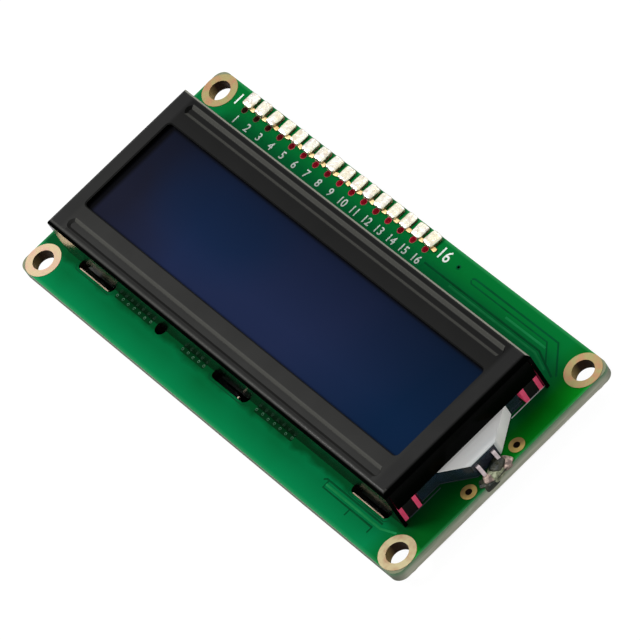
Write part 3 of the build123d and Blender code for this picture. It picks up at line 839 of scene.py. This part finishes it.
# Bright solder on the header's pads, out to the board's edge, and a small heel of gold beside each.
# A mound or a heel has its width, length and height, then the cut of its corners and of its crown.
headerSettings = {
    "firstX": -32.0,
    "pitch": 2.54,
    "count": 16,
    "rowY": 15.45,
    "mound": (1.86, 2.2, 0.45, 0.34, 0.35),
    "moundY": 16.88,
    "moundShift": 0.04,
    "moundTurn": (4, -2),
    "moundSwell": (0.04, 0.05, 0.25),
    "padLevel": 0.04,
    "heel": (0.95, 0.62, 0.16, 0.18, 0.12),
    "heelStep": (1.12, 0.62),
    "heelShift": 0.08,
    "heelTurn": 14,
    "sleeveRadius": 0.49,
    "sleeveWall": 0.04,
    "boardThickness": 1.6,
}


def pinPlace(index):
    return headerSettings["firstX"] + headerSettings["pitch"] * index


def addHeaderSolder(settings):
    mound = modelMound(*settings["mound"])
    mound.location.z = settings["padLevel"] * mm
    wider, longer, higher = settings["moundSwell"]
    turn, turnFrom = settings["moundTurn"]
    mounds = []
    for index in range(settings["count"]):
        twin = copyTo(mound, pinPlace(index), settings["moundY"] + sway(index, 2.1, settings["moundShift"]))
        twin.rotation_euler.z = radians(sway(index, 2.4, turn) + turnFrom)
        twin.scale = (1 + wider * cos(index * 1.7), 1 + sway(index, 3.1, longer),
                      1 + sway(index, 1.3, higher))
        mounds.append(twin)
    bpy.data.objects.remove(mound)
    solder = finishPiece(joined(mounds), "headerSolderMounds", finishOf["solder"])
    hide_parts("header_solder")

    heel = modelMound(*settings["heel"])
    stepX, stepY = settings["heelStep"]
    heels = []
    for index in range(settings["count"]):
        x = pinPlace(index) + stepX + sway(index, 1.9, settings["heelShift"])
        twin = copyTo(heel, x, settings["rowY"] + stepY)
        twin.rotation_euler.z = radians(sway(index, 2.9, settings["heelTurn"]))
        heels.append(twin)
    bpy.data.objects.remove(heel)
    finishPiece(joined(heels), "headerPadHeels", spotGold)


def addHeaderSleeves(settings):
    radius, depth = settings["sleeveRadius"] * mm, settings["boardThickness"] * mm
    sleeves = []
    for index in range(settings["count"]):
        deselect()
        place = (pinPlace(index) * mm, settings["rowY"] * mm, -depth / 2)
        bpy.ops.mesh.primitive_cylinder_add(vertices=12, radius=radius, depth=depth, location=place,
                                            end_fill_type="NOTHING")
        sleeve = bpy.context.object
        wall = sleeve.modifiers.new("wall", "SOLIDIFY")
        wall.thickness = settings["sleeveWall"] * mm
        bpy.ops.object.modifier_apply(modifier=wall.name)
        bpy.ops.object.shade_smooth_by_angle(angle=radians(40))
        sleeves.append(sleeve)
    finishPiece(joined(sleeves), "headerSleeves", copperSleeve)


addHeaderSolder(headerSettings)
addHeaderSleeves(headerSettings)
print("header soldered")

# Plain pin numbers in white ink: a small one under each pin, and a large one at both ends
numberSettings = {
    "smallHeight": 1.15,
    "smallY": 13.78,
    "largeHeight": 1.65,
    "firstAt": (-34.1, 16.05),
    "lastAt": (9.0, 16.3),
    "capShare": 0.7,
    "stroke": 0.02,
    "inkThickness": 0.02,
}


def printNumber(number, x, y, height, settings):
    deselect()
    bpy.ops.object.text_add()
    mark = bpy.context.object
    mark.data.body = str(number)
    mark.data.size = height / settings["capShare"] * mm
    mark.data.align_x = "CENTER"
    mark.data.align_y = "CENTER"
    mark.data.offset = settings["stroke"] * mm
    mark.data.extrude = settings["inkThickness"] / 2 * mm
    mark.data.resolution_u = 3
    bpy.ops.object.convert(target="MESH")
    mark = bpy.context.object
    mark.location = (x * mm, y * mm, settings["inkThickness"] / 2 * mm)
    return mark


def addPinNumbers(settings, count):
    marks = [printNumber(index + 1, pinPlace(index), settings["smallY"], settings["smallHeight"], settings)
             for index in range(count)]
    for number, place in ((1, settings["firstAt"]), (count, settings["lastAt"])):
        marks.append(printNumber(number, *place, settings["largeHeight"], settings))
    finishPiece(joined(marks), "pinNumbers", inkWhite)


addPinNumbers(numberSettings, headerSettings["count"])
print("pin numbers printed")


# Tracks, gaps and printed lines are routes of corners, drawn out flat on the board
def drawLine(route, width, level=0, thickness=0.03):
    deselect()
    bpy.ops.mesh.primitive_plane_add(size=width * mm)
    bpy.ops.object.mode_set(mode="EDIT")
    bpy.ops.mesh.select_mode(type="VERT")
    bpy.ops.mesh.select_all(action="SELECT")
    bpy.ops.mesh.merge(type="CENTER")
    bpy.ops.transform.translate(value=(route[0][0] * mm, route[0][1] * mm, 0))
    for here, there in zip(route, route[1:]):
        leg = ((there[0] - here[0]) * mm, (there[1] - here[1]) * mm, 0)
        bpy.ops.mesh.extrude_vertices_move(TRANSFORM_OT_translate={"value": leg})
    bpy.ops.object.mode_set(mode="OBJECT")
    bpy.ops.object.convert(target="CURVE")
    line = bpy.context.object
    line.data.bevel_depth = width / 2 * mm
    line.data.bevel_resolution = 1
    line.data.use_fill_caps = True
    bpy.ops.object.convert(target="MESH")
    line = bpy.context.object
    line.scale.z = thickness / width
    line.location.z = level * mm
    bpy.ops.object.transform_apply(location=True, scale=True)
    bpy.ops.object.shade_smooth_by_angle(angle=radians(50))
    return line


dotSettings = {"height": 0.04, "rimShare": 0.45, "dimple": 0.03}


def modelDot(x, y, radius, level, facing=1):
    # a low ring round a plugged hole, with a dimple in the middle
    deselect()
    depth, place = dotSettings["height"] * mm, (x * mm, y * mm, level * mm)
    bpy.ops.mesh.primitive_cylinder_add(vertices=12, radius=radius * mm, depth=depth, location=place)
    dot = bpy.context.object
    choose(dot, "FACE", lambda face: face.normal.z * facing > 0.9)
    bpy.ops.mesh.inset(thickness=radius * dotSettings["rimShare"] * mm)
    bpy.ops.transform.translate(value=(0, 0, -dotSettings["dimple"] * facing * mm))
    bpy.ops.object.mode_set(mode="OBJECT")
    return dot


# Gaps in the copper at the right-hand end of the board and round the slots, and one plugged hole
gapSettings = {
    "width": 0.28,
    "routes": [
        [(14.9, 16.1), (15.3, 16.3), (31.75, 16.3), (35.25, 12.9)],
        [(7.5, 14.12), (30.5, 14.12), (34.8, 12.5)],
        [(32.8, -14.0), (21.6, -14.0), (21.2, -14.3)],
        [(32.0, -15.1), (22.0, -15.1), (22.0, -14.1)],
    ],
    "fineWidth": 0.22,
    "fineRoutes": [
        [(14.9, 15.9), (15.3, 15.55), (30.4, 15.55), (32.6, 13.4)],
        [(27.5, -15.1), (27.5, -16.1)],
        [(31.9, -15.1), (31.9, -16.0)],
    ],
    "plug": (12.0, 16.2, 0.35, 0.01),
    "slotMiddles": (-29.0, 0.0, 29.0),
    "slotOutline": [
        (-4.0, -12.65), (-4.0, -13.25), (-3.5, -13.72), (3.5, -13.72), (4.0, -13.25), (4.0, -12.65),
    ],
    "slotLine": 0.17,
}

# Rows of small plugged holes in a dark groove before the bezel, darkened further as painted shade at the
# bezel's foot
rowSettings = {
    "y": -12.95,
    "spans": [(-24.2, -17.0), (-10.0, -5.5), (5.7, 13.0)],
    "pitch": 1.18,
    "radius": 0.2,
    "level": 0.02,
    "shift": 0.05,
    "groove": 0.8,
    "grooveReach": 0.2,
}

# Tracks that catch the light at the same end
trackSettings = {
    "width": 0.3,
    "routes": [
        [(13.0, 13.62), (30.2, 13.62), (33.2, 12.6)],
        [(22.0, -14.58), (33.0, -14.58), (35.3, -13.8)],
        [(23.0, 14.85), (30.9, 14.85)],
    ],
}

# Bare lips along the front of the outer slots, and a painted glint, a small light patch of the same finish,
# on the lip of the middle one
lipSettings = {
    "middles": (-29.0, 29.0),
    "reach": 3.1,
    "y": -13.3,
    "width": 0.22,
    "level": -0.12,
    "thickness": 0.2,
    "glint": [(2.0, -13.2), (2.2, -13.2)],
    "glintWidth": 0.38,
}


def addGaps(settings):
    lines = [drawLine(route, settings["width"]) for route in settings["routes"]]
    lines += [drawLine(route, settings["fineWidth"]) for route in settings["fineRoutes"]]
    lines.append(modelDot(*settings["plug"]))
    for middle in settings["slotMiddles"]:
        lines.append(drawLine([(middle + x, y) for x, y in settings["slotOutline"]], settings["slotLine"]))
    finishPiece(joined(lines), "copperGaps", maskGap)


def addRows(settings):
    grooves, dots = [], []
    y, reach = settings["y"], settings["grooveReach"]
    for low, high in settings["spans"]:
        grooves.append(drawLine([(low - reach, y), (high + reach, y)], settings["groove"]))
        count = round((high - low) / settings["pitch"])
        for index in range(count + 1):
            dotX = low + index * (high - low) / count
            dotY = y + sway(index, 2.3, settings["shift"])
            dots.append(modelDot(dotX, dotY, settings["radius"], settings["level"]))
    finishPiece(joined(grooves), "rowGrooves", maskGroove)
    finishPiece(joined(dots), "rowDots", maskDot)


def addTracks(settings):
    lines = [drawLine(route, settings["width"]) for route in settings["routes"]]
    finishPiece(joined(lines), "copperTracks", maskTrack)


def addSlotLips(settings):
    y, reach, width = settings["y"], settings["reach"], settings["width"]
    routes = [([(middle - reach, y), (middle + reach, y)], width) for middle in settings["middles"]]
    routes.append((settings["glint"], settings["glintWidth"]))
    lips = [drawLine(route, wide, settings["level"], settings["thickness"]) for route, wide in routes]
    finishPiece(joined(lips), "slotLips", bareLip)


addGaps(gapSettings)
addRows(rowSettings)
addTracks(trackSettings)
addSlotLips(lipSettings)

# The clear guide's foot catches the light: a painted highlight, a thin line between the contact strips and
# the nose
footSettings = {
    "back": (11.3, 5.6),
    "front": (-11.3, -6.2),
    "step": 0.05,
    "width": 0.16,
    "level": 0.05,
    "thickness": 0.1,
}


def addFootLines(settings):
    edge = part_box("upper_contact_strip_walls")[1].x / mm + settings["step"]
    # the back line is white film, the front one its darker copy in painted shade
    for side, finish in (("back", finishOf["white_film"]), ("front", filmEdge)):
        line = drawLine([(edge, y) for y in settings[side]], settings["width"], settings["level"],
                        settings["thickness"])
        finishPiece(line, side + "GuideFoot", finish)


addFootLines(footSettings)
print("front tracks laid")

# Old solder and flux where the lamp's leads meet the board, run over its edge, and dark burnt lumps that also
# stand in for painted shade between the leads. Each lump has its place, its width, length and height, and its
# turn in degrees.
lumpSettings = {
    "cornerShare": 0.25,
    "crownShare": 0.22,
    "solder": [
        (39.25, 1.1, -0.05, 1.9, 1.6, 0.34, 24),
        (39.8, 0.85, -0.5, 0.8, 1.3, 0.62, -8),
        (39.3, -1.7, -0.05, 1.6, 1.5, 0.36, -20),
    ],
    "flux": [
        (39.75, -0.6, -0.75, 0.9, 2.0, 1.0, 8),
        (39.2, -0.85, -0.04, 1.8, 1.7, 0.36, 35),
        (39.5, -1.75, -0.3, 0.9, 0.8, 0.5, 10),
    ],
    "burnt": [
        (39.45, -0.45, -0.03, 1.6, 4.4, 0.16, 3),
        (39.85, -1.9, -1.15, 0.5, 2.2, 1.1, 0),
        (38.9, 0.1, -0.02, 1.9, 2.1, 0.62, 30),
        (39.2, -2.7, -0.04, 1.3, 1.0, 0.2, -30),
    ],
}


def modelLumps(kind, settings):
    lumps = []
    for x, y, z, width, length, height, turn in settings[kind]:
        narrow = min(width, length)
        corner, crown = narrow * settings["cornerShare"], narrow * settings["crownShare"]
        lump = modelMound(width, length, height, corner, crown)
        lump.location = (x * mm, y * mm, z * mm)
        lump.rotation_euler.z = radians(turn)
        lumps.append(lump)
    return joined(lumps)


lampSolder = finishPiece(modelLumps("solder", lumpSettings), "lampSolderLumps", oldSolder)
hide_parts("lamp_solder")
finishPiece(modelLumps("flux", lumpSettings), "lampFlux", fluxResin)
finishPiece(modelLumps("burnt", lumpSettings), "lampStain", burntFlux)
print("lamp soldered")

# Tracks on the back run from the header to the two drops, and on to a row of plugged holes before each.
# A drop has its first pin and the one after its last.
backSettings = {
    "level": -1.6,
    "drops": {"controller_drop": (0, 11), "driver_drop": (11, 16)},
    "trackWidth": 0.3,
    "headerY": 14.6,
    "fanY": 11.2,
    "fanLean": 0.12,
    "fanShare": 1.5,
    "slantMost": 3.2,
    "straightFrom": 3.0,
    "bite": 0.3,
    "rowY": -11.0,
    "rowCount": 12,
    "rowShare": 1.6,
    "rowTurn": 1.4,
    "viaRadius": 0.36,
    "viaSink": 0.01,
    "ringGap": 0.45,
    "ringWidth": 0.18,
    "ringFlat": 0.2,
    "frameGap": (1.0, 0.7),
}


def dropPlace(name):
    low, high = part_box(name)
    return (low.x + high.x) / 2 / mm, (low.y + high.y) / 2 / mm, (high.x - low.x) / 2 / mm


def evenShares(count):
    # evenly spread from minus a half to a half
    return [(index + 0.5) / count - 0.5 for index in range(count)]


def rimStep(radius, aside, bite):
    # how far along Y a drop's rim is from its middle, less a bite
    return (radius * radius - aside ** 2) ** 0.5 - bite


def addBackTracks(settings):
    level, bite = settings["level"], settings["bite"]
    dotLevel = level - settings["viaSink"]
    lines, dots = [], []
    for name, (first, last) in settings["drops"].items():
        middleX, middleY, radius = dropPlace(name)
        for index, share in zip(range(first, last), evenShares(last - first)):
            startX = pinPlace(index)
            aimX = middleX + share * settings["fanShare"] * radius
            aimY = middleY + rimStep(radius, aimX - middleX, bite)
            side = 1 if aimX > startX else -1
            slant = min(abs(aimX - startX), settings["slantMost"])
            turnY = settings["fanY"] + (startX - aimX) * settings["fanLean"] * side
            route = [(startX, settings["headerY"]), (startX, turnY + slant), (aimX, turnY), (aimX, aimY)]
            if slant > settings["straightFrom"]:
                route.insert(2, (startX + side * slant, turnY))
            lines.append(drawLine(route, settings["trackWidth"], level))
        for share in evenShares(settings["rowCount"]):
            aimX = middleX + share * settings["rowShare"] * radius
            endX = middleX + share * 2 * radius
            aimY = middleY - rimStep(radius, aimX - middleX, bite)
            route = [(aimX, aimY), (aimX, settings["rowY"] + settings["rowTurn"]), (endX, settings["rowY"])]
            lines.append(drawLine(route, settings["trackWidth"], level))
            dots.append(modelDot(endX, settings["rowY"], settings["viaRadius"], dotLevel, -1))
    finishPiece(joined(lines), "backTracks", maskTrack)
    finishPiece(joined(dots), "backVias", maskTrack)


def addBackPrint(settings):
    # printed rings round the drops and frames round the small parts
    marks = []
    for name in settings["drops"]:
        middleX, middleY, radius = dropPlace(name)
        deselect()
        reach, half = (radius + settings["ringGap"]) * mm, settings["ringWidth"] / 2 * mm
        bpy.ops.mesh.primitive_torus_add(major_radius=reach, major_segments=72, minor_radius=half,
                                         minor_segments=6)
        ring = bpy.context.object
        ring.scale.z = settings["ringFlat"]
        ring.location = (middleX * mm, middleY * mm, settings["level"] * mm)
        bpy.ops.object.transform_apply(location=True, scale=True)
        marks.append(ring)
    gapX, gapY = settings["frameGap"]
    for name in ("chip_resistors", "chip_capacitors"):
        low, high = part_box(name)
        left, right = low.x / mm - gapX, high.x / mm + gapX
        front, back = low.y / mm - gapY, high.y / mm + gapY
        corners = [(left, front), (right, front), (right, back), (left, back), (left, front)]
        marks.append(drawLine(corners, settings["ringWidth"], settings["level"]))
    finishPiece(joined(marks), "backPrint", inkWhite)


addBackTracks(backSettings)
addBackPrint(backSettings)
print("back of the board dressed")
